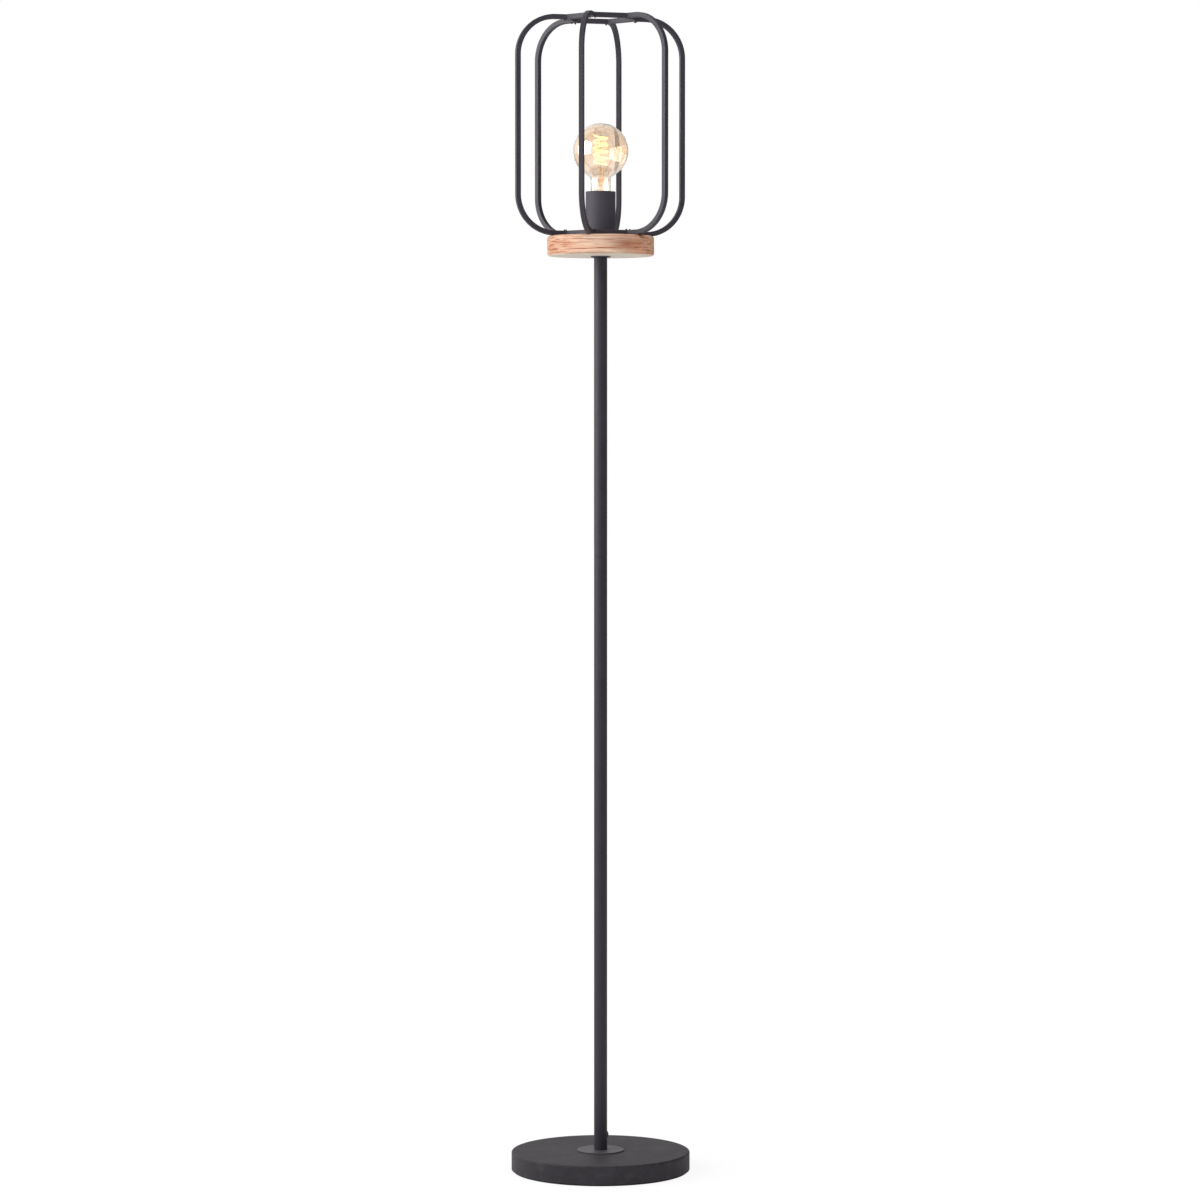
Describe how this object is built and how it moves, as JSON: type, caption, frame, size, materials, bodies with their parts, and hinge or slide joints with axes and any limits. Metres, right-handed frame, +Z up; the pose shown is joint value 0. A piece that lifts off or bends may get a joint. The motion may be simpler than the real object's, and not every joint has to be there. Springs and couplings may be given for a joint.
{
  "type": "floor lamp",
  "caption": "Floor lamp with a round weighted base, a straight pole, a wooden disc and an open cage of bent square bar round an amber light bulb in a metal cup.",
  "frame": {"origin": "on the floor, under the middle of the pole", "axes": "+Z up along the pole, front towards -Y, +X to the right as seen from the front"},
  "size_m": [0.2162, 0.2162, 1.3955],
  "materials": {
    "base_paint": "matte, fine texture",
    "flange_paint": "satin",
    "pole_paint": "matte",
    "cage_paint": "matte",
    "cup_paint": "matte",
    "cast_weight": "rough cast",
    "pad_foam": "matte foam",
    "zinc_steel": "zinc plated",
    "disc_wood": "oiled, open grain",
    "gland_rubber": "matte",
    "lead_jacket": "matte",
    "core_brown": "smooth",
    "core_blue": "smooth",
    "holder_ceramic": "glazed",
    "contact_brass": "bright",
    "shell_nickel": "nickel plated",
    "amber_glass": "clear, amber tint",
    "cap_nickel": "nickel plated",
    "black_glass": "glossy",
    "tip_solder": "solder",
    "stem_glass": "clear",
    "wire_nickel": "drawn wire",
    "filament_glow": "glowing phosphor"
  },
  "bodies": {
    "stand": {"base_pad": "pad_foam", "base_weight": "cast_weight", "base_cover": "base_paint", "foot_flange": "flange_paint", "base_nipple": "zinc_steel", "base_washer": "zinc_steel", "base_nut": "zinc_steel", "pole_lower": "pole_paint", "pole_middle": "pole_paint", "pole_upper": "pole_paint", "tube_insert_1": "zinc_steel", "tube_insert_2": "zinc_steel", "tube_insert_3": "zinc_steel", "tube_insert_4": "zinc_steel", "tube_insert_5": "zinc_steel", "tube_insert_6": "zinc_steel", "joint_nipple_lower": "zinc_steel", "joint_nipple_upper": "zinc_steel", "cord_gland": "gland_rubber", "inner_lead": "lead_jacket", "lead_core_1": "core_brown", "lead_core_2": "core_blue", "disc_washer": "cup_paint", "wood_disc": "disc_wood", "cage_strap": "cage_paint", "cage_bottom_hexagon": "cage_paint", "cage_top_hexagon": "cage_paint", "cage_bar_1": "cage_paint", "cage_bar_2": "cage_paint", "cage_bar_3": "cage_paint", "cage_bar_4": "cage_paint", "cage_bar_5": "cage_paint", "cage_bar_6": "cage_paint", "socket_cup": "cup_paint", "head_nipple": "zinc_steel", "head_washer": "zinc_steel", "head_nut": "zinc_steel", "holder_base": "holder_ceramic", "holder_body": "holder_ceramic", "holder_shell": "shell_nickel", "centre_contact": "contact_brass", "side_contact": "contact_brass", "terminal_screws": "contact_brass"},
    "bulb_carriage": {"bulb_tip": "tip_solder"},
    "bulb": {"bulb_glass": "amber_glass", "bulb_cap": "cap_nickel", "bulb_insulator": "black_glass", "bulb_stem": "stem_glass", "bulb_wire_1": "wire_nickel", "bulb_wire_2": "wire_nickel", "bulb_filament": "filament_glow"}
  },
  "joints": [
    {"name": "bulb_rise", "type": "slide", "parent": "stand", "child": "bulb_carriage", "axis": [0, 0, 1], "range_m": [0, 0.01816]},
    {"name": "bulb_turn", "type": "hinge", "parent": "bulb_carriage", "child": "bulb", "pos_m": [0, 0, 1.18], "axis": [0, 0, 1], "range_deg": [0, 1800]}
  ],
  "couplings": [
    {"joint": "bulb_rise", "follows": "bulb_turn", "m_per_rad": 0.00057757}
  ]
}
